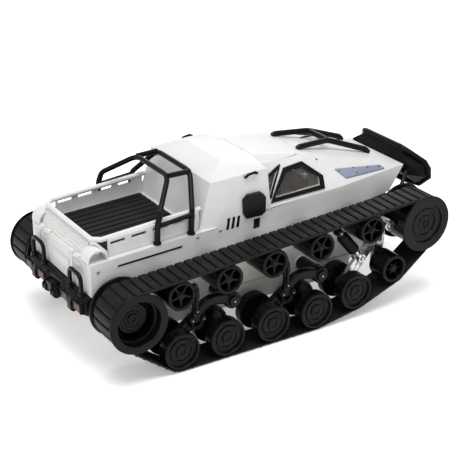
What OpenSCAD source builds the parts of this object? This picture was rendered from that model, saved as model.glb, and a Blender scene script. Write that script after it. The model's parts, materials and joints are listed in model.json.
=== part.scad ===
// Tracked pickup model, scale about 1:12: a hull with an open bed rides on two rubber
// tracks. Each side has a driven drum at the back, an idler drum at the front, five twin
// road wheels, a small spoked wheel and five return rollers.
// X points forward, Y to the left and Z up. The origin is on the ground, in the middle
// of the length and width. The right-hand parts are mirror images of the left-hand ones.

/* [Overall] */
// Length from the tow hitch to the bumper tube
overall_length = 421; // [420:1:430]
// Height of the roof ridge above the ground
roof_z = 170.4; // [168:0.2:173]
// Half width of the hull sides
hull_y = 64.1; // [63:0.1:65]

/* [Drums] */
// Distance between the rear and the front drum axles
wheelbase = 330; // [328:1:332]
// Place of the rear axle behind the middle
rear_axle_x = -170; // [-172:1:-168]
// Height of the rear axle
rear_axle_z = 64; // [63:0.5:65]
// Height of the front axle
front_axle_z = 85.6; // [85:0.1:87]
// Radius of a drum under the band
drum_r = 25.8; // [25:0.1:26]
// Radius of a drum's flanges
flange_r = 29.7; // [29.5:0.1:30]

/* [Wheels] */
// Radius of a road wheel
wheel_r = 18.7; // [18:0.1:18.8]
// Radius of a return roller
roller_r = 14.6; // [14:0.1:15]
// Radius of the small front wheel
small_r = 14.7; // [14:0.1:15]
// Width of a return roller
roller_w = 35; // [30:1:36]

/* [Track] */
// Thickness of the rubber band with its pads
band_t = 2.6; // [2.4:0.1:2.8]
// Inner edge of the band
band_in = 76.5; // [76:0.1:78]
// Outer edge of the band
band_out = 110.8; // [110:0.1:111]

/* [Suspension] */
// Radius of the wheel axles and roller pins
pin_r = 2; // [1.8:0.1:2.2]
// Radius of the bogie arm pins
arm_pin_r = 3; // [2.8:0.1:3.2]
// Radial running clearance of every shaft
fit = 0.05; // [0.03:0.01:0.08]

/* [Cage] */
// Radius of the roll cage tubes
cage_r = 2.6; // [2.2:0.1:2.8]
// Radius of the guard bars over the windscreen hatch
guard_r = 2.6; // [2:0.1:2.8]

/* [Hidden] */
$fn = 48;
SIDES = ["left", "right"];
COUNT = 5;
SIDE_NODES = ["track", "rear_drum", "front_drum", "small_wheel", "rear_swing_arm", "mid_swing_arm",
    "rear_rocker", "mid_rocker", "front_arm", "shock_body", "shock_rod"];

front_axle_x = rear_axle_x + wheelbase;
gap = 0.3;
wheel_x = [-125, -75, -23, 28, 76];
wheel_z = [21.6, 21.6, 21.6, 21.6, 29.9];
small_x = 123.3;
small_z = 43.2;
drum_band_r = drum_r + gap + band_t;
top_slope = (front_axle_z - rear_axle_z) / wheelbase;
roller_x = [-123.5, -72, -21, 33.5, 95];
roller_drop = 18;
function band_top(x) = rear_axle_z + top_slope * (x - rear_axle_x)
    + drum_band_r * sqrt(1 + top_slope * top_slope);
function roller_z(i) = band_top(roller_x[i]) - roller_drop;

// Places across the width, measured from the middle
tub_y = 60;
tub_wall = 2.5;
nose_y = 48;
disc_in = [68.5, 78.3];
disc_out = [98, 111];
rocker_y = [84, 90];
arm_y = [91, 96.5];
front_arm_y = [84, 88.6];
roller_out = 109;
drum_in = 69.1;
drum_out = 113;

// Suspension points in the side view
hub_z = 38;
arm_reach = [39.4, 13.3];
rear_hub_x = (wheel_x[0] + wheel_x[1]) / 2;
mid_hub_x = (wheel_x[2] + wheel_x[3]) / 2;
front_pivot = [126, 86];
shock_low = [93.4, 56.3];
shock_top = [63, 92.4];

// Hull outline in the side view
rear_x = -193.5;
skirt_z = 76;
ledge_rear_z = 108.5;
ledge_slope = 0.047;
wall_t = 2;
belt_x = 0;
pillar = [87, 125.5];
function ledge_z(x) = ledge_rear_z + ledge_slope * (x - rear_x);

// ---------------------------------------------------------------- shared shapes

module on_side(side) {
    if (side == "left") children();
    else mirror([0, 1, 0]) children();
}

module on_both() {
    for (s = SIDES) on_side(s) children();
}

// A side view outline, as solid from y0 to y1
module slab(y0, y1) {
    translate([0, y1, 0]) rotate([90, 0, 0]) linear_extrude(y1 - y0) children();
}

// A round bar across the model
module pin(p, r, y0, y1) {
    translate([p[0], y0, p[1]]) rotate([-90, 0, 0]) cylinder(h = y1 - y0, r = r);
}

// A part turned about a crosswise axis, from an outline of radius and y
module turned(p, outline) {
    translate([p[0], 0, p[1]]) rotate([-90, 0, 0]) rotate_extrude($fn = 96) polygon(outline);
}

// Outline of a tube's first ring, square to its first stretch
function first_ring(points, r, sides) =
    let (d = unit(points[1] - points[0]),
         u = unit(cross(d, abs(d.z) < 0.9 ? [0, 0, 1] : [1, 0, 0])), v = cross(d, u))
    [for (k = [0 : sides - 1]) points[0] + r * (cos(k * 360 / sides) * u + sin(k * 360 / sides) * v)];

function unit(v) = v / norm(v);

// Direction of the stretch that starts at point i; the last one is repeated
function stretch(points, i) = let (j = min(i, len(points) - 2)) unit(points[j + 1] - points[j]);

// The rings from point i on: each is the one before, slid along to the next mitre plane
function rings(points, i, ring) = i == len(points) - 1 ? [ring]
    : let (d = stretch(points, i), n = d + stretch(points, i + 1), at = points[i + 1])
      concat([ring], rings(points, i + 1, [for (p = ring) p + d * (((at - p) * n) / (d * n))]));

// A bent tube with mitred corners
module tube_run(points, r, sides = 12) {
    all_rings = rings(points, 0, first_ring(points, r, sides));
    last = len(points) - 1;
    polyhedron([for (ring = all_rings) for (p = ring) p], concat(
        [[for (k = [0 : sides - 1]) k], [for (k = [sides - 1 : -1 : 0]) last * sides + k]],
        [for (i = [0 : last - 1]) for (k = [0 : sides - 1]) let (m = (k + 1) % sides)
            [i * sides + m, i * sides + k, (i + 1) * sides + k, (i + 1) * sides + m]]));
}

function flip(p) = [p.x, -p.y, p.z];

// A tube that runs from the right side to the left one, given by its left half from the outside in
module hoop(half, r) {
    n = len(half);
    tube_run(concat(half, [for (i = [n - 1 : -1 : 0]) flip(half[i])]), r);
}

// Angle of the outward side of the belt stretch that runs from circle a [x, z, r] to circle b
function side_angle(a, b) = let (d = [b[0] - a[0], b[1] - a[1]])
    atan2(d[1], d[0]) + asin((a[2] - b[2]) / norm(d)) - 90;

// Points of the bend round circle c, between the stretch from a and the one to b
arc_step = 6;
function bend(a, c, b) =
    let (start = side_angle(a, c), turn = (side_angle(c, b) - start + 720) % 360,
         n = max(1, ceil(turn / arc_step)))
    [for (k = [0 : n]) let (t = start + turn * k / n) [c[0] + c[2] * cos(t), c[1] + c[2] * sin(t)]];

// Area inside a belt round circles listed against the clock
module belt_area(circles) {
    n = len(circles);
    polygon([for (i = [0 : n - 1])
        for (p = bend(circles[(i + n - 1) % n], circles[i], circles[(i + 1) % n])) p]);
}

// A flat link between two round ends
module link(a, b, ra, rb) {
    belt_area([[a[0], a[1], ra], [b[0], b[1], rb]]);
}

// ---------------------------------------------------------------- hull forms

// Left half of each convex part of the cab and hood, from the back to the nose
REAR_CAB = [[-76, 59.5, 113.9], [-58.8, hull_y, 114.8], [-62.5, 58, 159.1], [-34.3, 59.7, 154.8],
    [-2.9, 58.8, 161.5], [-38, 35.9, roof_z], [2, hull_y, 121], [2, 58.3, 160.2],
    [2, 30, 165.6], [-76, 59.5, 108], [-58.8, hull_y, 108], [2, hull_y, 108]];
QUARTER = [[-2, hull_y, 121], [4, hull_y, 121.2], [-2, 41.5, 160.2], [2, 41, 160],
    [30, 36.8, 157.6], [30, 30, 118], [-2, 30, 118]];
FRONT_CAB = [[0, hull_y, 121], [pillar[0], hull_y, pillar[1]], [0, 36, 159], [0, 28, 165.8],
    [55, 36.2, 158.9], [0, hull_y, 108], [pillar[0], hull_y, 108]];
HOOD = [[50, 36.2, 158.9], [55, 36.2, 158.9], [pillar[0], hull_y, pillar[1]], [182.2, 46, 124.1],
    [150.4, 23.4, 136.5], [pillar[0], hull_y, 97.5], [159.5, 52, 101], [50, hull_y, 100]];

// A point of a form, moved outward by d
function moved(p, d) = [
    p.x + (p.x < -30 ? -d : p.x > 140 ? d : 0),
    p.y + d,
    p.z + (p.z > 110 ? d : 1.5 * d)];

module form(half, d) {
    left = [for (p = half) moved(p, d)];
    all_points = concat(left, [for (p = left) [p.x, -p.y, p.z]]);
    hull() polyhedron(all_points, [for (i = [0 : len(all_points) - 3]) [i, i + 1, i + 2]]);
}

module front_form(d) {
    form(QUARTER, d);
    form(FRONT_CAB, d);
    form(HOOD, d);
}

// Side view of the lower hull, moved inward by t
module lower_outline(t) {
    polygon([[rear_x + t, skirt_z - t], [rear_x + t, ledge_rear_z - t],
        [belt_x, ledge_z(belt_x) - t], [pillar[0] + t, ledge_z(pillar[0]) - t],
        [pillar[0] + t, 97.5 - t], [-136, 82.9 - t], [-140, skirt_z - t]]);
}

SCREWS = [[-186, 100], [-81, 110], [-56, 111]];
screw_r = 1.5;

module main_window() {
    polygon([[9, 128.5], [31, 147.3], [51, 149.3], [65.3, 137.4], [63.6, 130.8]]);
}

module quarter_window() {
    polygon([[3.6, 132], [3.6, 139.5], [9.4, 146.6], [24.6, 151.4], [5.4, 132]]);
}

module main_frame() {
    difference() {
        polygon([[3.8, 125.4], [29.6, 150.6], [53, 152.6], [70.6, 138.2], [67.6, 127.6]]);
        main_window();
    }
}

module quarter_frame() {
    difference() {
        polygon([[2.4, 129.4], [2.4, 140.2], [8.6, 148.2], [27.8, 154.2], [6, 129.4]]);
        quarter_window();
    }
}

module body_shell() {
    color("white") difference() {
        union() {
            slab(-hull_y, hull_y) lower_outline(0);
            form(REAR_CAB, 0);
            front_form(0);
        }
        slab(-hull_y + wall_t, hull_y - wall_t) lower_outline(wall_t);
        form(REAR_CAB, -wall_t);
        front_form(-wall_t);
        on_both() slab(30, 70) {
            main_window();
            quarter_window();
        }
    }
}

module body_screws() {
    color("silver") on_both() for (p = SCREWS) pin(p, screw_r, hull_y, hull_y + 0.8);
}

// A thin layer on the outside of the cab, between two distances from its surface
module skin(outer, inner) {
    difference() {
        front_form(outer);
        front_form(inner);
    }
}

BOX = [[-30, 122.4], [-29.8, 136.4], [-24.4, 140.8], [-9.5, 140.8], [-5.3, 135.5], [-5.5, 120.5],
    [-9.7, 117.4], [-27, 117.4]];

module body_trim() {
    color([0.08, 0.08, 0.09]) on_both() {
        intersection() {
            skin(1, 0);
            slab(30, 70) {
                main_frame();
                quarter_frame();
            }
        }
        difference() {
            union() {
                slab(57, 67) polygon(BOX);
                tube_run([[-25, 57, 156], [-24.6, 61.4, 158.5], [-22.6, 61.8, 160.4], [-15, 61.8, 161.4],
                    [-12.6, 61.4, 160], [-12, 57, 158]], 1.3);
            }
            form(REAR_CAB, 0);
        }
        slab(hull_y, hull_y + 0.6) polygon([[-18, 104], [-17.4, 114], [-10.4, 114.4], [-11, 104.4]]);
    }
}

module window_glass() {
    color([0.3, 0.3, 0.32, 0.5]) on_both() intersection() {
        difference() {
            front_form(-0.4);
            front_form(-1.6);
        }
        slab(30, 70) {
            main_window();
            quarter_window();
        }
    }
}

module light_plates() {
    color([0.57, 0.58, 0.67]) on_both() intersection() {
        skin(0.8, 0);
        translate([0, 0, 110]) linear_extrude(40)
            polygon([[88.5, 50.6], [97.7, 58], [152.8, 50.2], [148.6, 47.6]]);
    }
}

// ---------------------------------------------------------------- tub and inside

module tub_side(t) {
    polygon([[-187 + t, 52 + t], [-187 + t, 92 + 2 * t], [-136, 92 + 2 * t], [87, 97.4 + 2 * t],
        [104 - t, 92 + 2 * t], [104 - t, 24 + t], [-140 + t, 24 + t]]);
}

module tub_nose(t) {
    polygon([[88, 24 + t], [104 - t / 2, 24 + t], [150 - t, 58 + t], [167 - t, 78 + t],
        [167 - t, 92 + 2 * t], [88, 92 + 2 * t]]);
}

function swing_pivot(hub_x) = [hub_x + arm_reach[0], hub_z + arm_reach[1]];

module chassis_tub() {
    color([0.87, 0.86, 0.82]) difference() {
        union() {
            difference() {
                union() {
                    slab(-tub_y, tub_y) tub_side(0);
                    slab(-nose_y, nose_y) tub_nose(0);
                }
                slab(-tub_y + tub_wall, tub_y - tub_wall) tub_side(tub_wall);
                slab(-nose_y + tub_wall, nose_y - tub_wall) tub_nose(tub_wall);
            }
            on_both() {
                for (i = [0 : COUNT - 1]) pin([roller_x[i], roller_z(i)], pin_r, tub_y - tub_wall, 104);
                for (x = [rear_hub_x, mid_hub_x]) {
                    pin(swing_pivot(x), arm_pin_r, tub_y - tub_wall, 97.5);
                    pin(swing_pivot(x), 7, tub_y - tub_wall, 61.7);
                }
                pin(shock_top, pin_r, tub_y - tub_wall, 97);
                pin([rear_axle_x, rear_axle_z], 8, 54.5, 66);
                for (x = [-96, -44]) translate([x, 16, 25]) cylinder(h = 33, r = 3);
            }
        }
        on_both() {
            pin([rear_axle_x, rear_axle_z], 3 + fit, 50, 70);
            slab(tub_y - 0.5, tub_y + 1) translate([-168, 44.6]) square([271, 0.9]);
        }
    }
}

module drive_motors() {
    color([0.75, 0.76, 0.78]) on_both() {
        pin([-138, 50], 13.5, 3, 29);
        difference() {
            slab(29, 54) link([rear_axle_x, rear_axle_z], [-138, 50], 14, 16);
            pin([rear_axle_x, rear_axle_z], 3 + fit, 37, 60);
        }
    }
}

module battery() {
    color([0.15, 0.25, 0.55]) translate([-20, -17, 26.7]) {
        cube([72, 34, 22]);
        translate([72, 10, 8]) cube([6, 14, 6]);
    }
}

module control_board() {
    color([0.1, 0.35, 0.2]) translate([-105, -22, 58.2]) {
        difference() {
            cube([70, 44, 1.6]);
            for (x = [9, 61]) for (y = [6, 38]) translate([x, y, -1]) cylinder(h = 4, r = 1.1);
        }
        translate([14, 12, 1.6]) cube([14, 14, 2.2]);
        translate([36, 10, 1.6]) cube([18, 22, 8]);
    }
}

// ---------------------------------------------------------------- pickup bed

rail_r = 2.5;
rail_y = 54.5;
rail_x = [-183.5, -72];
rail_z0 = 126.3;
rail_slope = 0.07;
wall_y = [55.2, 58];
wall_x = [-171, -77];
slot_pitch = 22.1;
hump_x = -184;
hump_r = 10.5;
hump_t = 1.8;
function rail_z(x) = rail_z0 + rail_slope * (x - rail_x[0]);

module above_ledge(rise) {
    polygon([[-200, ledge_z(-200) + rise], [-60, ledge_z(-60) + rise], [-60, 150], [-200, 150]]);
}

module bed_wall_outline() {
    difference() {
        polygon([[wall_x[0], ledge_z(wall_x[0])], [wall_x[0], rail_z(wall_x[0])],
            [-75.5, rail_z(-75.5)], [-75.5, 122.5], [wall_x[1], ledge_z(wall_x[1])]]);
        for (i = [0 : 3]) translate([-169 + i * slot_pitch, rail_z(-169 + i * slot_pitch) - 6.6])
            rotate(4) square([15.5, 3.4]);
    }
}

module bed_walls() {
    color("white") {
        on_both() {
            slab(wall_y[0], wall_y[1]) bed_wall_outline();
            slab(46, 62) intersection() {
                translate([hump_x, 110]) difference() {
                    circle(hump_r);
                    circle(hump_r - hump_t);
                }
                above_ledge(0);
            }
        }
        hoop([[rail_x[1], rail_y, rail_z(rail_x[1])], [rail_x[0] + 7, rail_y, rail_z(rail_x[0] + 7)],
            [rail_x[0], rail_y - 7, rail_z0]], rail_r);
    }
}

gate_top = [-184.6, 123.2];
gate_foot = [-191.3, 109];
gate_t = 1.8;

module tailgate() {
    color("white") difference() {
        slab(-45.6, 45.6) polygon([gate_foot, gate_top, gate_top + [gate_t, 0], gate_foot + [gate_t, 0.1]]);
        for (i = [0 : 3]) for (j = [-10 : 10]) {
            z = 112.5 + i * 2.9;
            share = (z - gate_foot[1]) / (gate_top[1] - gate_foot[1]);
            translate([gate_foot[0] + share * (gate_top[0] - gate_foot[0]) - 1, j * 4, z]) rotate([0, 90, 0]) cylinder(h = 5, r = 0.8, $fn = 16);
        }
    }
}

mat_x = [-167, -80.5];
mat_y = 51.5;
rib_count = 11;

module bed_mat() {
    rib_pitch = 2 * mat_y / rib_count;
    color([0.07, 0.07, 0.08]) {
        slab(-mat_y, mat_y) intersection() {
            translate([mat_x[0], 100]) square([mat_x[1] - mat_x[0], 40]);
            difference() {
                above_ledge(0);
                above_ledge(1.2);
            }
        }
        for (i = [0 : rib_count - 1]) translate([0, -mat_y + (i + 0.2) * rib_pitch, 0])
            slab(0, rib_pitch * 0.6) intersection() {
                translate([mat_x[0] + 1, 100]) square([mat_x[1] - mat_x[0] - 2, 40]);
                difference() {
                    above_ledge(1.2);
                    above_ledge(2.4);
                }
            }
    }
}

rear_hoop = [-93, 31.3, 163.8];
front_hoop = [-69.7, 32.4, 164.2];
leg_y = 61.2;

module roll_cage() {
    color([0.07, 0.07, 0.08]) difference() {
        union() {
            hoop([[-122.5, leg_y, 108], [-121.5, leg_y, 132], [-118.5, leg_y - 1, 142], rear_hoop], cage_r);
            hoop([[-86, leg_y, 110], [-85.4, leg_y, 128], [-84, leg_y - 1, 136], front_hoop], cage_r);
            on_both() {
                tube_run([rear_hoop, front_hoop], cage_r);
                tube_run([[-121.6, leg_y, 129.5], [-85.6, leg_y, 133]], cage_r * 0.9);
            }
        }
        slab(-hull_y, hull_y) lower_outline(0);
    }
}

// ---------------------------------------------------------------- outer fittings

guard_peak = [102.5, 17.4, 157.6];

module hatch_guard() {
    color([0.07, 0.07, 0.08]) difference() {
        union() {
            on_both() tube_run([[60, 23, 157.2], [64, 22.8, 159.6], guard_peak, [148, 23.1, 140.4],
                [153, 23.6, 134]], guard_r);
            hoop([guard_peak], guard_r);
        }
        front_form(0);
    }
}

tube_r = 2.5;
front_end = overall_length / 2;

module front_bumper() {
    x = front_end - tube_r;
    color([0.07, 0.07, 0.08]) {
        hull() for (s = [-1, 1]) {
            translate([185, s * 44 - 3, 112]) cube([2, 6, 12]);
            translate([190, s * 30 - 1, 133]) cube([2, 2, 2]);
            translate([x - 3, s * 53 - 1, 119]) cube([2, 2, 2]);
            translate([x - 3, s * 55.4 - 1, 108]) cube([2, 2, 2]);
            translate([x - 8, s * 44 - 1, 99]) cube([2, 2, 2]);
        }
        hoop([[x - 4, 47, 97.5], [x, 57.5, 108], [x, 56.5, 117], [x - 2.5, 52, 124], [x - 17.6, 31.2, 136.8]],
            tube_r);
        hoop([[x - 4, 47, 97.5], [x - 9, 28, 97]], tube_r);
        on_both() tube_run([[185.5, 46, 115], [172.5, 54, 102]], 2);
    }
}

bumper_front = -187;
hitch_bore_r = 2;

module rear_bumper() {
    color([0.07, 0.07, 0.08]) {
        slab(-62, 62) polygon([[-203, 60], [-203, 72], [-199, 75.6], [bumper_front, 75.6],
            [bumper_front, 56], [-198, 56]]);
        for (y = [-41, 41]) tube_run([[-198.5, y - 12, 74], [-198.5, y - 12, 95.8],
            [-198.5, y + 12, 95.8], [-198.5, y + 12, 74]], 1.7);
        difference() {
            translate([-overall_length / 2, -9, 61]) cube([8.5, 18, 8]);
            translate([-206.5, 0, 60]) cylinder(h = 10, r = hitch_bore_r);
        }
    }
}

module tail_lights() {
    color([0.7, 0.08, 0.08]) on_both() {
        translate([-204.4, 20, 62]) cube([1.4, 12, 7]);
        translate([-204.4, 48, 62]) cube([1.4, 12, 7]);
    }
}

module front_brackets() {
    color([0.78, 0.79, 0.81]) on_both() {
        difference() {
            union() {
                slab(77, 82.5) link(front_pivot, [small_x, small_z], 7, 5.5);
                pin(front_pivot, 6.2, nose_y, 67.5);
                pin(front_pivot, 3.4, 67.5, 77);
            }
            pin([front_pivot.x, front_pivot.y - 21], 2.4, 70, 90);
        }
        pin(front_pivot, 2.5, 82.5, 98.5);
        pin([small_x, small_z], pin_r, 82.5, 105);
        pin([front_axle_x, front_axle_z], 3, nose_y, 103);
        pin([front_axle_x, front_axle_z], 6, nose_y, 68);
    }
}

// ---------------------------------------------------------------- running gear

guides = [
    [rear_axle_x, rear_axle_z, drum_r + gap],
    [wheel_x[0], wheel_z[0], wheel_r + gap],
    [wheel_x[3], wheel_z[3], wheel_r + gap],
    [wheel_x[4], wheel_z[4], wheel_r + gap],
    [small_x, small_z, small_r + gap],
    [front_axle_x, front_axle_z, drum_r + gap]];

module track() {
    color([0.1, 0.1, 0.11]) {
        slab(band_in, band_out) difference() {
            belt_area([for (g = guides) [g[0], g[1], g[2] + band_t]]);
            belt_area(guides);
        }
    }
}

module rear_drum() {
    r = flange_r;
    color([0.1, 0.1, 0.11]) turned([rear_axle_x, rear_axle_z], [[0, 38], [3, 38], [3, drum_in],
        [9, drum_in], [9, 84], [21, 84], [21, drum_in], [r - 0.7, drum_in], [r, drum_in + 0.7],
        [r, 71], [r - 0.7, 71.7], [drum_r, 72.4], [drum_r, 110.9], [r, 111.2], [r, 112.3],
        [r - 0.7, drum_out], [22.4, drum_out], [21.8, 112.3], [21.8, 104], [20.4, 103.4],
        [20.4, 90], [15.4, 90], [15.4, 98], [14.6, 99], [12, 99], [11.6, 98.3], [8.4, 98.3],
        [8, 99], [5.6, 99], [5.2, 100.4], [2.6, 100.4], [2.2, 99.5], [0, 99.5]]);
}

module front_drum() {
    r = flange_r;
    color([0.1, 0.1, 0.11]) turned([front_axle_x, front_axle_z], [[3 + fit, drum_in], [9, drum_in],
        [9, 97], [21.6, 97], [21.6, drum_in], [r - 0.7, drum_in], [r, drum_in + 0.7], [r, 71],
        [r - 0.7, 71.7], [drum_r, 72.4], [drum_r, 110.9], [r, 111.2], [r, 112.3],
        [r - 0.7, drum_out], [20.4, drum_out - 0.4], [19.8, 110.6], [16.2, 110.6], [15.6, 111.6],
        [12.6, 111.6], [12, 110], [8.6, 110], [8, 111], [5.2, 111], [4.6, 109.6], [2.6, 109.6],
        [2.2, 110.6], [0, 110.6], [0, 104], [3 + fit, 104]]);
}

module road_wheel(p) {
    r = wheel_r;
    e = 0.8;
    i0 = disc_in[0];
    i1 = disc_in[1];
    o0 = disc_out[0];
    o1 = disc_out[1];
    color([0.1, 0.1, 0.11]) turned(p, [[0, i0], [7, i0], [8, i0 + 1.5], [15, i0 + 1.5], [16, i0],
        [r - e, i0], [r, i0 + e], [r, i1 - e], [r - e, i1], [15.8, i1], [15, i1 - 1.2],
        [6, i1 - 1.2], [5, i1 + 1.4], [pin_r, i1 + 1.4], [pin_r, o0 - 0.8], [5, o0 - 0.8],
        [6, o0 + 1.5], [15, o0 + 1.5], [16, o0], [r - e, o0], [r, o0 + e], [r, o1 - e],
        [r - e, o1], [16.4, o1], [15.8, o1 - 0.6], [15.4, o1 - 2.8], [12.8, o1 - 2.8],
        [12.2, o1 - 1.4], [10.2, o1 - 1.2], [9.6, o1 - 2.6], [6.6, o1 - 2.6], [6, o1 - 1],
        [3.4, o1 - 0.8], [2.9, o1 - 2], [0, o1 - 2]]);
}

// A rim with spokes on a blind bore, closed at its outer face
module spoked_wheel(p, r, y0, y1, spokes) {
    rim = r - 3;
    hub = 3.8;
    color([0.1, 0.1, 0.11]) {
        turned(p, [[pin_r + fit, y0], [5.5, y0], [5.5, y0 + 5], [rim, y0 + 5], [rim, y0], [r - 0.8, y0],
            [r, y0 + 0.8], [r, y1 - 0.8], [r - 0.8, y1], [rim, y1], [rim - 0.6, y1 - 1.2],
            [rim - 0.6, y0 + 7], [hub, y0 + 7], [hub, y1 - 1.8], [hub - 0.8, y1 - 1], [0, y1 - 1],
            [0, y1 - 3.5], [pin_r + fit, y1 - 3.5]]);
        difference() {
            pin(p, rim - 0.3, y1 - 6, y1 - 2.4);
            pin(p, hub - 0.4, y1 - 7, y1 - 2);
            for (k = [0 : spokes - 1]) slab(y1 - 7, y1 - 2) translate([p[0], p[1]])
                rotate(90 + k * 360 / spokes) polygon([[hub + 0.6, -1.9], [rim - 2.6, -rim * 0.47],
                    [rim - 0.8, -rim * 0.3], [rim - 0.4, 0], [rim - 0.8, rim * 0.3],
                    [rim - 2.6, rim * 0.47], [hub + 0.6, 1.9]]);
        }
    }
}

// An outline of a given half width along a line of points
module strip(points, half) {
    last = len(points) - 1;
    normals = [for (i = [0 : last])
        let (d = unit(points[min(i + 1, last)] - points[max(i - 1, 0)])) [-d.y, d.x]];
    polygon(concat([for (i = [0 : last]) points[i] + half * normals[i]],
        [for (i = [last : -1 : 0]) points[i] - half * normals[i]]));
}

ARCH = [[0, 0], [2.5, 8], [6, 13.2], [11, 16.8], [17, 18.4], [24, 18.2], [31, 16.4], arm_reach];

// Arched arm from the tub to a bogie, with a bump finger that reaches up between the rollers
module swing_arm(hub_x) {
    pivot = swing_pivot(hub_x);
    hub = [hub_x, hub_z];
    color([0.12, 0.12, 0.13]) {
        difference() {
            union() {
                slab(arm_y[0], arm_y[1]) translate(hub) strip(ARCH, 4.8);
                pin(hub, 7.4, arm_y[0], arm_y[1]);
                pin(pivot, 8.6, 62, 97);
                slab(92.5, 96) translate([hub_x - 5, hub_z + 2]) square([7, 40]);
            }
            pin(pivot, arm_pin_r + fit, 60, 100);
        }
        pin(hub, 2.5, 80.6, arm_y[0]);
        pin(hub, 4.6, 80.6, 82.6);
        pin(hub, 3.6, arm_y[1], 97.4);
    }
}

// Beam that carries two road wheels and tips on the arm's pin
module rocker(i) {
    hub = [(wheel_x[i] + wheel_x[i + 1]) / 2, hub_z];
    ends = [[wheel_x[i], wheel_z[i]], [wheel_x[i + 1], wheel_z[i + 1]]];
    color([0.14, 0.14, 0.15]) difference() {
        union() {
            slab(rocker_y[0], rocker_y[1]) for (e = ends) link(e, hub, 4.9, 7);
            for (e = ends) pin(e, 5.4, 80.6, 96.4);
        }
        for (e = ends) pin(e, pin_r + fit, 80, 97);
        pin(hub, 2.5 + fit, 80, 97);
    }
}

module front_arm() {
    hub = [wheel_x[4], wheel_z[4]];
    color([0.78, 0.79, 0.81]) {
        difference() {
            union() {
                slab(front_arm_y[0], front_arm_y[1]) {
                    link(front_pivot, hub, 5.6, 5.6);
                    translate(shock_low) circle(5.5);
                }
                pin(front_pivot, 6, front_arm_y[0], 97);
                pin(hub, 6, 81, 96.6);
            }
            pin(front_pivot, 2.5 + fit, 80, 100);
            pin(hub, pin_r + fit, 80, 100);
        }
        pin(shock_low, pin_r, front_arm_y[1], 97);
    }
}

// Shock frame: local z runs from the lower eye up to the upper eye
shock_vec = shock_top - shock_low;
shock_len = norm(shock_vec);
shock_tilt = atan2(shock_vec.x, shock_vec.y);
shock_y = 93;
eye_w = 5;

module along_shock() {
    translate([shock_low.x, shock_y, shock_low.y]) rotate([0, shock_tilt, 0]) children();
}

module shock_body() {
    ribs = 6;
    color([0.09, 0.09, 0.1]) difference() {
        along_shock() difference() {
            union() {
                translate([0, -eye_w / 2, shock_len]) rotate([-90, 0, 0]) cylinder(h = eye_w, r = 4.4);
                translate([0, 0, shock_len - 8]) cylinder(h = 6, r = 3.6);
                translate([0, 0, 15]) cylinder(h = shock_len - 22, r = 5);
                for (k = [0 : ribs]) translate([0, 0, 15 + k * 3.6]) cylinder(h = 2.2, r = 6.2);
            }
            translate([0, 0, 14]) cylinder(h = 20, r = 2.2 + fit);
        }
        pin(shock_top, pin_r + fit, 80, 100);
    }
}

module shock_rod() {
    color([0.8, 0.81, 0.83]) difference() {
        along_shock() {
            translate([0, 0, 3]) cylinder(h = 24, r = 2.2);
            translate([0, 0, 3]) cylinder(h = 4, r = 3.4);
            translate([0, -eye_w / 2, 0]) rotate([-90, 0, 0]) cylinder(h = eye_w, r = 4.4);
        }
        pin(shock_low, pin_r + 0.45, 80, 100);
    }
}

// ---------------------------------------------------------------- nodes

chassis_tub();
body_shell();
bed_walls();
tailgate();
bed_mat();
roll_cage();
hatch_guard();
front_bumper();
rear_bumper();
tail_lights();
body_trim();
window_glass();
light_plates();
front_brackets();
drive_motors();
battery();
control_board();
body_screws();
for (s = SIDES) on_side(s) {
    track();
    rear_drum();
    front_drum();
    spoked_wheel([small_x, small_z], small_r, 87, disc_out[1], 6);
    swing_arm(rear_hub_x);
    swing_arm(mid_hub_x);
    rocker(0);
    rocker(2);
    front_arm();
    shock_body();
    shock_rod();
    for (i = [0 : COUNT - 1]) {
        road_wheel([wheel_x[i], wheel_z[i]]);
        spoked_wheel([roller_x[i], roller_z(i)], roller_r, roller_out - roller_w, roller_out, 5);
    }
}
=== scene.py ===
"""Looks of the tracked pickup model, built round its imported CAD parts. Metres, +X forward, +Z up."""

import json
import math

import bmesh
import bpy
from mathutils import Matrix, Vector
from mathutils.bvhtree import BVHTree


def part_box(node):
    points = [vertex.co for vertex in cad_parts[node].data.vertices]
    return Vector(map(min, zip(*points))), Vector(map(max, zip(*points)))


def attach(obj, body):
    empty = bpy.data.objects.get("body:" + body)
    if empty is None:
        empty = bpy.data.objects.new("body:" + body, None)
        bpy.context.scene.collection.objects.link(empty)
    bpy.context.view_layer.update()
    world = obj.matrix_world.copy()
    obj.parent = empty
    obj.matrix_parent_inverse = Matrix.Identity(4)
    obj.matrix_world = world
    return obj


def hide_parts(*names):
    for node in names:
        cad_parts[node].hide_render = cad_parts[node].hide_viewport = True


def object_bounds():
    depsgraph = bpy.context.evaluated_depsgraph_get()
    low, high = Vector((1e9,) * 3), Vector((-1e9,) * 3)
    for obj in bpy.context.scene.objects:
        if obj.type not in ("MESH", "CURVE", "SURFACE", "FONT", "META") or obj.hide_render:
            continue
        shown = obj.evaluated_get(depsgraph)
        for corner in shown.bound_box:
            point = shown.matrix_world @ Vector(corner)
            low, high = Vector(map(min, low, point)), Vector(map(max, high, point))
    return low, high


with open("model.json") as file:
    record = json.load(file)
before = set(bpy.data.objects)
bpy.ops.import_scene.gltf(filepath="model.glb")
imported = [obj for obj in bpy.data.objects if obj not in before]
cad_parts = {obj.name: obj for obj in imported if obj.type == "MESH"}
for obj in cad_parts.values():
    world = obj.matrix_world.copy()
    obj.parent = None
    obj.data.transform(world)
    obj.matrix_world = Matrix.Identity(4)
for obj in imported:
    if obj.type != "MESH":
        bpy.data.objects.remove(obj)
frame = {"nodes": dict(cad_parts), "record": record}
cad_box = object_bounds()

MM = 0.001
SIDES = {"left": 1, "right": -1}
HULL = "hull"

# Swing arms, in millimetres: the rocker hubs' x and z, and from a hub to the arm's pivot on the tub
ARM_HUBS = {"rear": -100, "mid": 2.5}
ARM_HUB_Z = 38
ARM_REACH = (39.4, 13.3)


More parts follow.
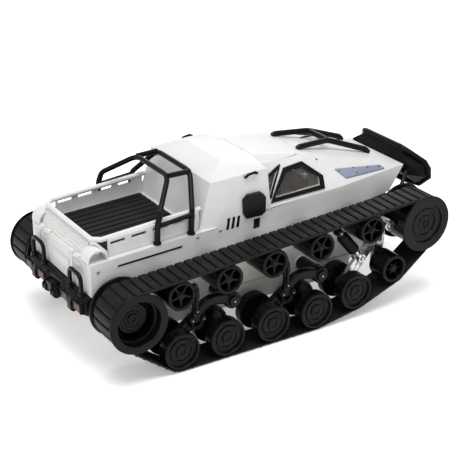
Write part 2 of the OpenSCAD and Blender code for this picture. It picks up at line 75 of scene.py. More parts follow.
# ---------------------------------------------------------------- materials


def link(tree, source, target):
    tree.links.new(source, target)


def noise(tree, coords, scale, detail):
    """A noise value in object space. Scale is the number of patches in a metre."""
    node = tree.nodes.new("ShaderNodeTexNoise")
    node.inputs["Scale"].default_value = scale
    node.inputs["Detail"].default_value = detail
    link(tree, coords, node.inputs["Vector"])
    return node.outputs["Fac"]


def spread(tree, value, low, high):
    """The middle of a noise, stretched from low to high."""
    node = tree.nodes.new("ShaderNodeMapRange")
    node.inputs["From Min"].default_value = 0.3
    node.inputs["From Max"].default_value = 0.7
    node.inputs["To Min"].default_value = low
    node.inputs["To Max"].default_value = high
    link(tree, value, node.inputs["Value"])
    return node.outputs["Result"]


def material(name, dark, light, rough, grain=900, depth=0.02, patch=40, stretch=(1, 1, 1), **sockets):
    """Moulded or cast stuff: patches between two colours, and a fine grain in gloss and bump."""
    made = bpy.data.materials.new(name)
    made.use_nodes = True
    tree = made.node_tree
    shader = tree.nodes["Principled BSDF"]
    place = tree.nodes.new("ShaderNodeTexCoord")
    scaled = tree.nodes.new("ShaderNodeMapping")
    scaled.inputs["Scale"].default_value = stretch
    link(tree, place.outputs["Object"], scaled.inputs["Vector"])
    coords = scaled.outputs["Vector"]
    ramp = tree.nodes.new("ShaderNodeValToRGB")
    ramp.color_ramp.elements[0].position = 0.35
    ramp.color_ramp.elements[0].color = (*dark, 1)
    ramp.color_ramp.elements[1].position = 0.65
    ramp.color_ramp.elements[1].color = (*light, 1)
    link(tree, noise(tree, coords, patch, 5), ramp.inputs["Fac"])
    link(tree, ramp.outputs["Color"], shader.inputs["Base Color"])
    fine = noise(tree, coords, grain, 3)
    link(tree, spread(tree, fine, rough * 0.85, rough * 1.15), shader.inputs["Roughness"])
    bump = tree.nodes.new("ShaderNodeBump")
    bump.inputs["Strength"].default_value = 0.5
    bump.inputs["Distance"].default_value = depth * MM
    link(tree, fine, bump.inputs["Height"])
    link(tree, bump.outputs["Normal"], shader.inputs["Normal"])
    for socket, value in sockets.items():
        shader.inputs[socket.replace("_", " ")].default_value = value
    return made


DULL = {"Specular_IOR_Level": 0.22}
FINISH = {
    "body_white": material("body_white", (0.60, 0.60, 0.59), (0.635, 0.635, 0.625), 0.42, 700, 0.01,
                           Specular_IOR_Level=0.3),
    # The tub's beige-grey is partly its own beige tone and partly painted shade from the track above it.
    "tub_plastic": material("tub_plastic", (0.52, 0.51, 0.48), (0.60, 0.59, 0.56), 0.5, 1200, 0.04),
    "black_rubber": material("black_rubber", (0.004, 0.004, 0.004), (0.008, 0.008, 0.008), 0.7, 1400, 0.05,
                             **DULL),
    "black_plastic": material("black_plastic", (0.004, 0.004, 0.004), (0.006, 0.006, 0.006), 0.25, 900,
                              0.008, Specular_IOR_Level=0.12),
    "lamp_red": material("lamp_red", (0.055, 0.010, 0.010), (0.080, 0.016, 0.015), 0.25, 500, 0.006,
                         Specular_IOR_Level=0.15),
    "smoked_window": material("smoked_window", (0.56, 0.53, 0.50), (0.62, 0.59, 0.56), 0.04, 300, 0.002,
                              Transmission_Weight=0.95, IOR=1.3),
    "lamp_plate": material("lamp_plate", (0.20, 0.215, 0.30), (0.245, 0.26, 0.35), 0.42, 900, 0.02),
    "alloy": material("alloy", (0.50, 0.51, 0.53), (0.68, 0.69, 0.71), 0.26, 1100, 0.03, 120,
                      Metallic=1.0),
    "motor_steel": material("motor_steel", (0.42, 0.42, 0.43), (0.55, 0.55, 0.56), 0.28, 1600, 0.01, 60,
                            (1, 0.08, 1), Metallic=1.0),
    "battery_wrap": material("battery_wrap", (0.015, 0.03, 0.20), (0.02, 0.05, 0.28), 0.22, 300, 0.05),
    "board_green": material("board_green", (0.008, 0.09, 0.035), (0.012, 0.13, 0.05), 0.3, 600, 0.02, 200),
    "screw_steel": material("screw_steel", (0.55, 0.56, 0.58), (0.72, 0.73, 0.75), 0.3, 1500, 0.01, 90,
                            Metallic=1.0),
    "track_rubber": material("track_rubber", (0.005, 0.005, 0.005), (0.009, 0.009, 0.009), 0.5, 1100, 0.03,
                             70, Specular_IOR_Level=0.16),
    "wheel_black": material("wheel_black", (0.003, 0.003, 0.0035), (0.0055, 0.0055, 0.006), 0.2, 700, 0.004,
                            60, Specular_IOR_Level=0.12),
    "arm_plastic": material("arm_plastic", (0.004, 0.004, 0.005), (0.006, 0.006, 0.006), 0.24, 900, 0.008,
                            Specular_IOR_Level=0.14),
}


# ---------------------------------------------------------------- making pieces


BEVEL_SEGMENTS = 2
BEVEL_ANGLE = 28
WELD_GAP = 0.002
AXIS_R = 0.01  # where a lathe outline starts and ends, so that its end faces close almost to a point


def soften(obj, width):
    """Rounds the sharp edges of a piece by geometry."""
    weld = obj.modifiers.new("weld", "WELD")
    weld.merge_threshold = WELD_GAP * MM
    bevel = obj.modifiers.new("bevel", "BEVEL")
    bevel.width = width * MM
    bevel.segments = BEVEL_SEGMENTS
    bevel.limit_method = "ANGLE"
    bevel.angle_limit = math.radians(BEVEL_ANGLE)
    bevel.use_clamp_overlap = False
    bevel.miter_outer = "MITER_ARC"
    normals = obj.modifiers.new("normals", "WEIGHTED_NORMAL")
    normals.keep_sharp = False


def smooth(mesh, angle):
    """Shades a mesh smoothly, with a crease wherever two faces meet at more than the angle."""
    mesh.polygons.foreach_set("use_smooth", [True] * len(mesh.polygons))
    mesh.set_sharp_from_angle(angle=math.radians(angle))


def piece(name, verts, faces, slot, body=HULL, round_edges=0, angle=32):
    """A new mesh piece, in metres, that rides on a body and has a slot's material."""
    mesh = bpy.data.meshes.new(name)
    mesh.from_pydata([tuple(v) for v in verts], [], faces)
    work = bmesh.new()
    work.from_mesh(mesh)
    bmesh.ops.recalc_face_normals(work, faces=work.faces)
    work.to_mesh(mesh)
    work.free()
    smooth(mesh, angle)
    mesh.materials.append(FINISH[slot])
    obj = bpy.data.objects.new(name, mesh)
    bpy.context.scene.collection.objects.link(obj)
    if round_edges:
        soften(obj, round_edges)
    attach(obj, body)
    return obj


class Shape:
    """Vertices and faces gathered from several closed forms. Points come in millimetres."""

    def __init__(self):
        self.verts = []
        self.faces = []

    def add(self, verts, faces):
        """Takes in one closed form."""
        start = len(self.verts)
        self.verts += [Vector(v) * MM for v in verts]
        self.faces += [[start + i for i in face] for face in faces]

    def rings(self, rings, closed=False):
        """Skins a row of equal closed rings of points. An open row gets an end face at each end."""
        n = len(rings[0])
        verts = [p for ring in rings for p in ring]
        faces = []
        last = len(rings) if closed else len(rings) - 1
        for i in range(last):
            a, b = i * n, ((i + 1) % len(rings)) * n
            faces += [[a + k, a + (k + 1) % n, b + (k + 1) % n, b + k] for k in range(n)]
        if not closed:
            faces += [list(range(n)), [(len(rings) - 1) * n + k for k in range(n)]]
        self.add(verts, faces)

    def tube(self, points, radius, fillet=4, sides=20):
        """A round tube along points, with bends of about the given fillet."""
        path = rounded(points, fillet)
        up = Vector((0, 0, 1)) if abs((path[1] - path[0]).normalized().z) < 0.9 else Vector((1, 0, 0))
        made = []
        for i, p in enumerate(path):
            ahead = path[min(i + 1, len(path) - 1)] - path[max(i - 1, 0)]
            side = ahead.cross(up).normalized()
            up = side.cross(ahead).normalized()
            made.append([p + radius * (math.cos(t) * side + math.sin(t) * up) for t in turns(sides)])
        self.rings(made)

    def prism(self, outline, y0, y1):
        """A side view outline of x and z, solid from y0 to y1."""
        self.rings([[(x, y0, z) for x, z in outline], [(x, y1, z) for x, z in outline]])

    def block(self, low, high):
        """A box between two corners."""
        (x0, y0, z0), (x1, y1, z1) = low, high
        self.prism([(x0, z0), (x1, z0), (x1, z1), (x0, z1)], y0, y1)

    def lathe(self, centre, outline, sides=96):
        """An outline of radius and y, turned about a crosswise axis through centre."""
        made = []
        for t in turns(sides):
            made.append([(centre[0] + r * math.cos(t), y, centre[1] + r * math.sin(t)) for r, y in outline])
        self.rings(made, closed=True)

    def piece(self, name, slot, body=HULL, round_edges=0, angle=32):
        return piece(name, self.verts, self.faces, slot, body, round_edges, angle)


def turns(n):
    """The angles of n equal steps round a circle."""
    return [2 * math.pi * k / n for k in range(n)]


def rounded(points, fillet, steps=8):
    """The polyline with each inner corner replaced by a short curve."""
    points = [Vector(p) for p in points]
    path = [points[0]]
    for before, at, after in zip(points, points[1:], points[2:]):
        cut = min(fillet, (at - before).length * 0.45, (after - at).length * 0.45)
        a = at + (before - at).normalized() * cut
        b = at + (after - at).normalized() * cut
        for k in range(steps + 1):
            t = k / steps
            path.append(a * (1 - t) ** 2 + at * 2 * t * (1 - t) + b * t * t)
    return path + [points[-1]]


def flip(points):
    """The points on the other side of the middle plane."""
    return [(x, -y, z) for x, y, z in points]


def both_halves(half):
    """A hoop's points from its left half, given from the outside in."""
    return list(half) + flip(half)[::-1]


def low_high(node):
    """The corners of a CAD node's box, in millimetres."""
    low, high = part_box(node)
    return low / MM, high / MM


# ---------------------------------------------------------------- CAD parts that stay


EDGE_WIDTH = {
    "body_shell": 0.5, "chassis_tub": 0.5, "bed_walls": 0.4, "tailgate": 0.15, "bed_mat": 0.3,
    "body_trim": 0.25, "light_plates": 0.15, "front_brackets": 0.4, "drive_motors": 0.6, "battery": 1.0,
    "control_board": 0.3, "body_screws": 0.2, "tail_lights": 0.4, "shock_rod_left": 0.15,
    "shock_rod_right": 0.15,
}
WHEEL_SLOTS = ("wheel_black", "screw_steel")
WHEEL_EDGE = 0.3
OTHER_EDGE = 0.6
KEPT_SHARP = ("window_glass", "front_bumper")
KEPT_SHARP_ANGLE = 24
ALL_SMOOTH = 180


def dress_cad_parts():
    """Gives each CAD part its slot's material and rounded edges. The panes and front bumper stay sharp."""
    slot_of = {row["node"]: row["material_slot"] for row in frame["record"]["subparts"]}
    for node, obj in frame["nodes"].items():
        slot = slot_of[node]
        obj.data.materials.clear()
        obj.data.materials.append(FINISH[slot])
        if "custom_normal" in obj.data.attributes:
            obj.data.attributes.remove(obj.data.attributes["custom_normal"])
        smooth(obj.data, ALL_SMOOTH)
        if node in KEPT_SHARP:
            smooth(obj.data, KEPT_SHARP_ANGLE)
            continue
        plain_edge = WHEEL_EDGE if slot in WHEEL_SLOTS else OTHER_EDGE
        soften(obj, EDGE_WIDTH.get(node, plain_edge))


dress_cad_parts()

RAY_Y = 0.2  # metres: rays start outside the hull, beside it or above it
RAY_Z = 0.3
SEAM_STEP = 1.5


def surface_of(node):
    """A search tree of a CAD node's faces, for rays."""
    mesh = frame["nodes"][node].data
    return BVHTree.FromPolygons([v.co for v in mesh.vertices], [p.vertices for p in mesh.polygons])


skin = surface_of("body_shell")


def on_side(x, z, side):
    """The outermost hull point at x and z, in millimetres, and its normal."""
    at, normal, _, _ = skin.ray_cast(Vector((x * MM, side * RAY_Y, z * MM)), Vector((0, -side, 0)))
    return at / MM, normal


def on_top(x, y):
    """The topmost hull point at x and y, in millimetres, and its normal."""
    at, normal, _, _ = skin.ray_cast(Vector((x * MM, y * MM, RAY_Z)), Vector((0, 0, -1)))
    return at / MM, normal


def finely(points, step):
    """The polyline with points no further apart than step."""
    out = [points[0]]
    for a, b in zip(points, points[1:]):
        n = max(1, math.ceil((Vector(b) - Vector(a)).length / step))
        out += [Vector(a).lerp(Vector(b), k / n) for k in range(1, n + 1)]
    return out


def seam(shape, place, points, width):
    """A thin line that follows the hull's surface along a polyline of its side or top view."""
    path = []
    for u, v in finely(points, SEAM_STEP):
        at, _ = place(u, v)
        path.append(at)
    shape.tube(path, width, fillet=0, sides=8)


# ---------------------------------------------------------------- tracks

BAND_T = 2.6
GAP = 0.3
DRUM_LIP = 3.9
PAD_PITCH = 9.6
GROOVE = 1.9
PAD_SHARE = 0.88


def side_angle(a, b):
    """The outward angle of the belt's straight stretch from circle a to circle b."""
    dx, dz = b[0] - a[0], b[1] - a[1]
    return math.atan2(dz, dx) + math.asin((a[2] - b[2]) / math.hypot(dx, dz)) - math.pi / 2


def belt(circles):
    """The run round circles of x, z, r, as arcs and lines: (length, function of the distance along it)."""
    n = len(circles)
    runs = []
    for i, (cx, cz, r) in enumerate(circles):
        start = side_angle(circles[i - 1], circles[i])
        end = side_angle(circles[i], circles[(i + 1) % n])
        turn = (end - start) % (2 * math.pi)
        runs.append((r * turn, (cx, cz, r, start, turn)))
        nx, nz, nr = circles[(i + 1) % n]
        a = Vector((cx + r * math.cos(end), cz + r * math.sin(end)))
        b = Vector((nx + nr * math.cos(end), nz + nr * math.sin(end)))
        runs.append(((b - a).length, (a, b, end)))
    return runs


def belt_point(runs, s, height):
    """Point and outward angle at the distance s along the run, raised by height."""
    s %= sum(length for length, _ in runs)
    for length, run in runs:
        if s <= length:
            break
        s -= length
    if len(run) == 5:
        cx, cz, r, start, turn = run
        t = start + turn * s / length
        return cx + (r + height) * math.cos(t), cz + (r + height) * math.sin(t)
    a, b, t = run
    p = a.lerp(b, s / length)
    return p.x + height * math.cos(t), p.y + height * math.sin(t)


def guide_circles(side):
    """The circles of x, z and r that the belt's inner face runs round, a gap outside each wheel."""
    made = []
    for node in ("rear_drum", "road_wheel_1", "road_wheel_4", "road_wheel_5", "small_wheel", "front_drum"):
        low, high = low_high(f"{node}_{side}")
        lip = DRUM_LIP if "drum" in node else 0
        made.append(((low.x + high.x) / 2, (low.z + high.z) / 2, (high.z - low.z) / 2 - lip + GAP))
    return made


def build_track(side):
    """A rubber track: a band with a raised outer rim, swept pads across it and a row of nubs."""
    sign = SIDES[side]
    low, high = low_high(f"track_{side}")
    y_in, y_out = (low.y, high.y) if sign > 0 else (-high.y, -low.y)
    width = y_out - y_in
    runs = belt(guide_circles(side))
    total = sum(length for length, _ in runs)
    pads = round(total / PAD_PITCH)
    pitch = total / pads
    shape = Shape()

    def at(s, y, height):
        x, z = belt_point(runs, s, height)
        return x, sign * y, z

    def slant(y):
        """How far back a groove bends at y, so that pads are slightly swept."""
        u = (y - y_in) / width
        return 2.4 * u - 2.2 * u * u

    # The band: a flat strip with a raised rim along its outer edge
    base, rim = BAND_T * 0.3, BAND_T - 0.5
    rim_y = y_in + width * (PAD_SHARE + 0.03)
    section = [(y_in + 0.4, 0), (y_in, 0.5), (y_in, base - 0.2), (y_in + 0.5, base), (rim_y, base),
               (rim_y + 0.5, rim - 0.4), (rim_y + 1, rim - 0.1), (y_out - 0.9, rim - 0.1),
               (y_out - 0.2, rim - 0.7), (y_out, 0.4), (y_out - 0.4, 0)]
    steps = pads * 6
    shape.rings([[at(total * k / steps, y, h) for y, h in section] for k in range(steps)], closed=True)

    # The pads
    pad_in, pad_out = y_in + 0.6, rim_y + 0.2
    across = 7
    along = 5
    edge = 0.45
    for k in range(pads):
        s0 = k * pitch + GROOVE / 2
        s1 = (k + 1) * pitch - GROOVE / 2
        rings = []
        for j in range(across + 1):
            y = pad_in + (pad_out - pad_in) * j / across
            end = j in (0, across)
            top = BAND_T - (0.5 if end else 0)
            ring = [at(s0 + slant(y), y, base - 0.3), at(s0 + slant(y), y, top - 0.5)]
            for i in range(along + 1):
                s = s0 + edge + (s1 - s0 - 2 * edge) * i / along
                ring.append(at(s + slant(y), y, top))
            ring += [at(s1 + slant(y), y, top - 0.5), at(s1 + slant(y), y, base - 0.3)]
            rings.append(ring)
        shape.rings(rings)

    # Small nubs along the outer rim, one to a pad
    for k in range(pads):
        s = (k + 0.5) * pitch
        y = y_out - 1.9
        rings = []
        for r, h in ((1.6, rim - 0.4), (1.6, BAND_T - 0.3), (1.1, BAND_T)):
            rings.append([at(s + r * math.cos(t), y + 0.7 * r * math.sin(t), h) for t in turns(10)])
        shape.rings(rings)
    track = shape.piece(f"track_tread_{side}", "track_rubber", angle=50)
    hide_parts(f"track_{side}")


for side in SIDES:
    build_track(side)


# ---------------------------------------------------------------- tubes and bumpers


def ledge(x):
    """Height of the hull's side ledge."""
    return 108.5 + 0.047 * (x + 193.5)


CAGE_R = 2.6
SLEEVE_R = 2.8
LEG_Y = 61.2
REAR_TOP = (-93, 31.3, 163.8)
FRONT_TOP = (-69.7, 32.4, 164.2)


def build_cage():
    """Two roll hoops with links between them, and sleeves round the lower part of their legs."""
    shape = Shape()
    rear = [(-122.5, LEG_Y, ledge(-122.5)), (-121.5, LEG_Y, 132), (-118.5, LEG_Y - 1, 142), REAR_TOP]
    front = [(-86, LEG_Y, ledge(-86)), (-85.4, LEG_Y, 128), (-84, LEG_Y - 1, 136), FRONT_TOP]
    shape.tube(both_halves(rear), CAGE_R, 9)
    shape.tube(both_halves(front), CAGE_R, 9)
    for mirrored in (list, flip):
        shape.tube(mirrored([REAR_TOP, FRONT_TOP]), CAGE_R)
        shape.tube(mirrored([(-121.6, LEG_Y, 129.5), (-85.6, LEG_Y, 133)]), CAGE_R * 0.9)
    cage = shape.piece("cage_tubes", "black_plastic")
    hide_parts("roll_cage")
    sleeves = Shape()
    for mirrored in (list, flip):
        for foot, top in ((rear[0], rear[2]), (front[0], front[2])):
            low = (foot[0], LEG_Y, foot[2] - 0.3)
            bend = rear[1] if foot is rear[0] else front[1]
            high = (top[0] - 0.3, LEG_Y - 0.2, top[2] - 3)
            sleeves.tube(mirrored([low, bend, high]), SLEEVE_R, 5)
            pad = [(foot[0], LEG_Y, foot[2] - 0.2), (foot[0], LEG_Y, foot[2] + 2.2)]
            sleeves.tube(mirrored(pad), SLEEVE_R + 1.1)
    sleeves.piece("cage_sleeves", "black_plastic", round_edges=0.4)


build_cage()


def build_rear_bumper():
    """A sculpted bar with a shelf, rounded hoops, a stepped hitch with two shackles and side wings."""
    bar = Shape()
    back, middle = -191, 65
    sections = [(-62, 0.35), (-60, 0.75), (-52, 1), (-16, 1), (-13, 0.8)]
    sections += [(-y, swell) for y, swell in sections[::-1]]
    outline = [(-203.2, 61), (-203.2, 71), (-201.6, 74), (-198, 75.8), (back, 75.8), (back, 55.4),
               (-197, 55), (-201, 57)]
    rings = []
    for y, swell in sections:
        tall = 0.75 + 0.25 * swell
        rings.append([(back + (x - back) * swell, y, middle + (z - middle) * tall) for x, z in outline])
    bar.rings(rings)
    frame_side = [(-204.6, 61), (-204.6, 70), (-202, 71.6), (-200, 71.6), (-200, 59.6), (-203, 59.6)]
    frame_top = [(-204.6, 70), (-202, 71.6), (-200, 71.6), (-200, 69.4), (-204.2, 69.4)]
    step = [(-206, 58), (-206, 66), (-203, 72), (-200, 72), (-200, 56), (-203, 55.4)]
    shackle = [(-209.4, 59), (-209.4, 64), (-205, 68.6), (-201, 68.6), (-201, 57), (-206, 56)]
    for sign in SIDES.values():
        for a, b in ((17.5, 34.5), (45.5, 61.5)):
            y0, y1 = sorted((sign * a, sign * b))
            bar.prism(frame_side, y0, y0 + 2.2)
            bar.prism(frame_side, y1 - 2.2, y1)
            bar.prism(frame_top, y0, y1)
        y0, y1 = sorted((sign * 36, sign * 44))
        bar.prism(step, y0, y1)
        for y in (sign * 6.5, sign * 11.5):
            bar.prism(shackle, y - 1.3, y + 1.3)
    bar.block((-207.8, -5, 60.6), (-200, 5, 69.4))
    bar.block((-206.2, -14, 62.6), (-200, 14, 66.4))
    whole = bar.piece("rear_bumper_bar", "black_plastic", round_edges=0.7)
    hoops = Shape()
    for y in (-41, 41):
        y0, y1 = y - 12, y + 12
        hoops.tube([(-198, y0, 72), (-198.4, y0, 95.2), (-198.4, y1, 95.2), (-198, y1, 72)], 2.1, 7)
        for leg in (y0, y1):
            hoops.tube([(-198, leg, 74.6), (-198, leg, 77.6)], 3.3)
    hoops.piece("rear_bumper_hoops", "black_plastic")
    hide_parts("rear_bumper")


build_rear_bumper()

GUARD_R = 3.0
GUARD_PEAK = (102.5, 17.4, 157.6)


def build_guard():
    """Two bent bars over the windscreen hatch and a crossbar at their peaks."""
    shape = Shape()
    bar = [(61, 23, 158), (64, 22.8, 159.6), GUARD_PEAK, (148, 23.1, 140.4), (151, 23.4, 136.6)]
    for mirrored in (list, flip):
        shape.tube(mirrored(bar), GUARD_R, 5)
    shape.tube(both_halves([GUARD_PEAK]), GUARD_R)
    guard = shape.piece("guard_bars", "black_plastic")
    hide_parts("hatch_guard")


build_guard()


# ---------------------------------------------------------------- hull details


ROOF_EDGE = [(61, 0), (58, 12), (55.5, 28)]
RECESS = [(70, 30), (139, 24)]


def build_seams():
    """Panel lines and creases of the body, and the dark crescent on the far side of the hood. The grey
    lines on the hood recess, roof edge and rear crease are painted shade in those grooves.
    """
    dark = Shape()
    # grey lines on the creases and recess borders: painted shade in place of the shade inside the grooves
    groove_shade = Shape()
    for sign in SIDES.values():
        def side(x, z):
            return on_side(x, z, sign)

        def top(x, y):
            return on_top(x, sign * y)

        seam(dark, side, [(3, 118), (2.6, 149)], 0.25)
        seam(groove_shade, top, RECESS, 0.45)
        seam(groove_shade, top, [(139, 24), (124, 10.6), (106, 14)], 0.45)
        seam(groove_shade, side, [(-190, 101.2), (-176, 101.8)], 0.2)
        seam(dark, top, [(71, 41), (74, 44)], 0.7)
        seam(groove_shade, top, ROOF_EDGE, 0.22)
        seam(groove_shade, top, [(x + 2.2, y) for x, y in ROOF_EDGE], 0.22)
    rim = [on_top(95 + 29.7 * t, 20.6 + 15.9 * t)[0] for t in (0, 0.25, 0.5, 0.75, 1)]
    swell = (0.2, 1.5, 2.1, 1.5, 0.2)
    rings = []
    for p, w in zip(rim, swell):
        corners = ((-w, -0.5), (-w, 0.9), (w, 0.9), (w, -0.5))
        rings.append([p + Vector((x, -x * 0.6, z)) for x, z in corners])
    dark.rings(rings)
    dark.piece("body_seams", "black_rubber")
    # the grey lines, as one piece of painted groove shade
    groove_shade.piece("groove_shade_lines", "lamp_plate")


build_seams()


def build_marks():
    """Plain painted marks: one slim stripe along the bed and three slanted bars behind the door."""
    shape = Shape()
    for sign in SIDES.values():
        outlines = [[(-166, 100.4), (-98, 103.6), (-97, 105.4), (-165, 102.2)]]
        for k in range(3):
            x = -49 + 5.6 * k
            outlines.append([(x, 110), (x + 3, 110.2), (x + 5, 121.4), (x + 2, 121.2)])
        for outline in outlines:
            base = [(x, on_side(x, z, sign)[0].y - sign * 0.4, z) for x, z in outline]
            face = [(x, y + sign * 0.75, z) for x, y, z in base]
            shape.rings([base, face])
    shape.piece("side_marks", "black_plastic")


build_marks()

REAR_FACE = -193.5


def build_rear_panel():
    """Raised frames and a plain recess border on the rear panel, and hinges of the tailgate."""
    shape = Shape()

    def bar(y0, y1, z0, z1, rise=0.7):
        shape.block((REAR_FACE - rise, y0, z0), (REAR_FACE + 0.5, y1, z1))

    for y0, y1, z0, z1 in ((-20, 20, 83, 98), (-46, -27, 84, 104), (27, 46, 84, 104)):
        bar(y0, y1, z0, z0 + 1)
        bar(y0, y1, z1 - 1, z1)
        bar(y0, y0 + 1, z0 + 1, z1 - 1)
        bar(y1 - 1, y1, z0 + 1, z1 - 1)
    bar(-56, 56, 105.6, 107.2, 1)
    bar(-17, 17, 86, 95, 0.4)
    for sign in SIDES.values():
        y0, y1 = sorted((sign * 31, sign * 42))
        bar(y0, y1, 88, 100, 0.5)
        for y in (22, 36):
            low, high = sorted((sign * y, sign * (y + 7)))
            shape.block((REAR_FACE - 1.3, low, 107.6), (REAR_FACE + 2.2, high, 110.4))
    shape.piece("rear_panel_frames", "body_white", round_edges=0.3)


build_rear_panel()

RIVETS = [(92.5, 52.3), (112, 49.8), (114, 54.2), (131, 49.6), (146, 49)]


def build_rivets():
    """Small dark rivets on the two hood plates."""
    plates = surface_of("light_plates")
    shape = Shape()
    for sign in SIDES.values():
        for x, y in RIVETS:
            start = Vector((x * MM, sign * y * MM, RAY_Z))
            at, normal, _, _ = plates.ray_cast(start, Vector((0, 0, -1)))
            if at is None:
                continue
            at = at / MM
            side = normal.cross(Vector((1, 0, 0))).normalized()
            ahead = side.cross(normal).normalized()
            spokes = [math.cos(t) * side + math.sin(t) * ahead for t in turns(12)]
            rings = []
            for r, h in ((0.8, -0.2), (0.8, 0.2), (0.5, 0.4)):
                rings.append([at + normal * h + r * spoke for spoke in spokes])
            shape.rings(rings)
    if shape.faces:
        shape.piece("plate_rivets", "black_plastic")


build_rivets()


def build_bumper_lip():
    """A thick rounded lip along the front hoop."""
    x = 207.6
    shape = Shape()
    half = [(x - 0.8, 56.2, 111), (x - 0.8, 55.8, 117), (x - 3, 51.6, 124), (x - 18, 32.2, 137.4)]
    shape.tube(both_halves(half), 3.0, 6)
    shape.piece("bumper_lip", "black_plastic")


build_bumper_lip()

SHOCK_PIN = (63, 92.4, 3.6)  # x, z and radius of the cap on the shock's upper pin


def build_pivot_caps():
    """Caps on the ends of the fixed pivot pins, and the bolt in each."""
    pins = [(x + ARM_REACH[0], ARM_HUB_Z + ARM_REACH[1], 5.6) for x in ARM_HUBS.values()]
    pins.append(SHOCK_PIN)
    caps = Shape()
    bolts = Shape()
    for sign in SIDES.values():
        y0, y1 = sign * 97.1, sign * 99.2
        sunk, raised, peak = y1 - sign * 0.2, y1 + sign * 0.3, y1 + sign * 0.5
        for x, z, r in pins:
            cap = [(AXIS_R, y0), (r, y0), (r, y1 - sign * 0.6), (r - 0.6, y1), (AXIS_R, y1)]
            caps.lathe((x, z), cap, 40)
            bolt = [(AXIS_R, sunk), (0.9, sunk), (0.9, raised), (0.6, peak), (AXIS_R, raised)]
            bolts.lathe((x, z), bolt, 20)
    caps.piece("pivot_caps", "arm_plastic")
    bolts.piece("pivot_bolts", "screw_steel")


build_pivot_caps()


def build_cabin():
    """Two seats and a dashboard, seen dimly through the windows."""
    seat = [(8, 122), (30, 122), (30, 127), (16, 128.5), (8, 146), (3.4, 146), (3.4, 124)]
    headrest = [(5, 145), (9, 145), (8, 151), (5, 151)]
    dashboard = [(46, 120), (60, 120), (58, 134), (50, 136), (46, 130)]
    shape = Shape()
    for y in (-42, 14):
        shape.prism(seat, y, y + 28)
        shape.prism(headrest, y + 8, y + 20)
    shape.prism(dashboard, -48, 48)
    shape.piece("cabin_seats", "black_rubber", round_edges=1.2)


build_cabin()


# ---------------------------------------------------------------- suspension arms


# The arch's middle line from the hub, and the knuckles' x, z and radius from the hub
ARM_ARCH = [(0, 3), (2.5, 9), (6, 13.2), (11, 16.8), (17, 18.4), (24, 18.2), (31, 16.4), ARM_REACH]
KNUCKLES = [(-6.6, 5, 3.6), (5.6, 4, 3.4), (-1.4, 13.5, 3.2)]


def build_arm(part, side):
    """A moulded swing arm: a thick arch from hub to pivot, a bump bar, knuckle bolts and a pivot sleeve."""
    sign = SIDES[side]
    x0, z0 = ARM_HUBS[part], ARM_HUB_Z
    shape = Shape()
    rings = []
    count = len(ARM_ARCH)
    for i, (dx, dz) in enumerate(ARM_ARCH):
        a = ARM_ARCH[min(i + 1, count - 1)]
        b = ARM_ARCH[max(i - 1, 0)]
        along = Vector((a[0] - b[0], a[1] - b[1])).normalized()
        half = 5.0 + 0.9 * abs(2 * i / (count - 1) - 1)
        ring = []
        for t in turns(20):
            u, v = math.cos(t), math.sin(t)
            u = math.copysign(abs(u) ** 0.45, u) * half
            v = math.copysign(abs(v) ** 0.6, v) * 4.3
            ring.append((x0 + dx - along.y * u, sign * (91.7 + v), z0 + dz + along.x * u))
        rings.append(ring)
    shape.rings(rings)
    low, high = sorted((sign * 91.5, sign * 96.3))
    bar = [(-4.6, 1), (2.2, 1), (2.4, 10), (1.2, 14), (1.4, 24), (2.4, 27), (2, 36), (-0.4, 41.4),
           (-3, 41.4), (-5, 37), (-5, 26), (-3.8, 22), (-3.8, 14), (-5, 10)]
    shape.prism([(x0 + x, z0 + z) for x, z in bar], low, high)
    low, high = sorted((sign * 95.9, sign * 98.2))
    rib = [(-2.6, 10), (-0.4, 10), (0, 22), (-0.6, 36), (-2.4, 36), (-2.6, 22)]
    shape.prism([(x0 + x, z0 + z) for x, z in rib], low, high)
    for dx, dz, r in KNUCKLES:
        low, high = sign * 91.5, sign * 98.6
        knuckle = [(AXIS_R, low), (r, low), (r, high - sign), (r - 1, high), (AXIS_R, high)]
        shape.lathe((x0 + dx, z0 + dz), knuckle, 28)
    hub = [(3.3, 87.6), (7.4, 87.6), (7.4, 95.6), (6.6, 96.4), (5.4, 96.4), (5, 95.6), (3.3, 95.6)]
    shape.lathe((x0, z0), [(r, sign * y) for r, y in hub], 48)
    px, pz = x0 + ARM_REACH[0], z0 + ARM_REACH[1]
    sleeve = [(3.3, 62.2), (7.4, 62.2), (7.4, 84), (8.6, 86), (8.6, 95.8), (7.8, 96.8), (3.3, 96.8)]
    shape.lathe((px, pz), [(r, sign * y) for r, y in sleeve], 48)
    arm = shape.piece(f"{part}_arm_moulding_{side}", "arm_plastic", f"{part}_swing_arm_{side}", 0.5)
    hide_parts(f"{part}_swing_arm_{side}")
    bolts = Shape()
    y0, y1 = sign * 98.4, sign * 99
    bolt = [(AXIS_R, y0), (0.6, y0), (0.6, y1 - sign * 0.2), (0.4, y1), (AXIS_R, y1)]
    for dx, dz, _ in KNUCKLES:
        bolts.lathe((x0 + dx, z0 + dz), bolt, 16)
    bolts.piece(f"{part}_arm_bolts_{side}", "screw_steel", f"{part}_swing_arm_{side}")


for side in SIDES:
    for part in ARM_HUBS:
        build_arm(part, side)


# ---------------------------------------------------------------- stage


FLOOR_HALF = 6
FLOOR_DROP = 0.0002


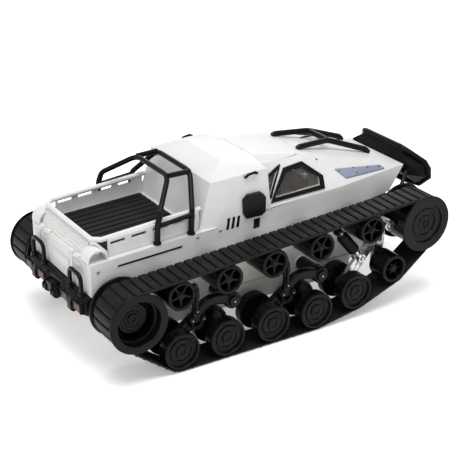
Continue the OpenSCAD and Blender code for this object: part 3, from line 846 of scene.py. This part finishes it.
def build_floor():
    """White paper that glows faintly, just under the tracks."""
    mesh = bpy.data.meshes.new("floor")
    corners = [(-FLOOR_HALF, -FLOOR_HALF, 0), (FLOOR_HALF, -FLOOR_HALF, 0), (FLOOR_HALF, FLOOR_HALF, 0),
               (-FLOOR_HALF, FLOOR_HALF, 0)]
    mesh.from_pydata(corners, [], [(0, 1, 2, 3)])
    floor = bpy.data.objects.new("floor", mesh)
    floor.location.z = cad_box[0][2] - FLOOR_DROP
    bpy.context.scene.collection.objects.link(floor)
    paint = bpy.data.materials.new("floor_paper")
    paint.use_nodes = True
    shader = paint.node_tree.nodes["Principled BSDF"]
    shader.inputs["Base Color"].default_value = (0.96, 0.96, 0.96, 1)
    shader.inputs["Roughness"].default_value = 0.9
    shader.inputs["Emission Color"].default_value = (1, 1, 1, 1)
    shader.inputs["Emission Strength"].default_value = 0.25
    shader.inputs["Specular IOR Level"].default_value = 0.1
    mesh.materials.append(paint)


def area_light(name, place, target, size, power):
    """A round soft lamp at place that looks at target."""
    lamp = bpy.data.lights.new(name, "AREA")
    lamp.shape = "DISK"
    lamp.size = size
    lamp.energy = power
    obj = bpy.data.objects.new(name, lamp)
    obj.location = place
    obj.rotation_euler = (Vector(target) - Vector(place)).to_track_quat("-Z", "Y").to_euler()
    bpy.context.scene.collection.objects.link(obj)


def build_studio():
    """An even white surrounding with three soft lamps."""
    world = bpy.data.worlds.new("studio")
    world.use_nodes = True
    world.node_tree.nodes["Background"].inputs["Color"].default_value = (1, 1, 1, 1)
    world.node_tree.nodes["Background"].inputs["Strength"].default_value = 0.62
    bpy.context.scene.world = world
    bpy.context.scene.view_settings.view_transform = "Standard"
    middle = (0, 0, 0.08)
    area_light("key", (-0.2, -0.3, 1.6), middle, 1.2, 21)
    area_light("fill", (-1.5, -0.7, 0.7), middle, 0.9, 2.5)
    area_light("rim", (0.8, 1.2, 0.9), middle, 0.8, 4)


CAMERA_PLACE = (-0.6242, -0.9948, 0.6019)
CAMERA_BACK = (-0.482, -0.774, 0.410)
CAMERA_LENS = 98.1


def build_camera():
    """The camera that was fitted to the photograph's wheels and drums."""
    camera = bpy.data.cameras.new("camera")
    camera.lens = CAMERA_LENS
    camera.sensor_width = 36
    camera.clip_start = 0.01
    obj = bpy.data.objects.new("camera", camera)
    obj.location = CAMERA_PLACE
    obj.rotation_euler = (-Vector(CAMERA_BACK)).to_track_quat("-Z", "Y").to_euler()
    bpy.context.scene.collection.objects.link(obj)
    bpy.context.scene.camera = obj


build_floor()
build_studio()
build_camera()
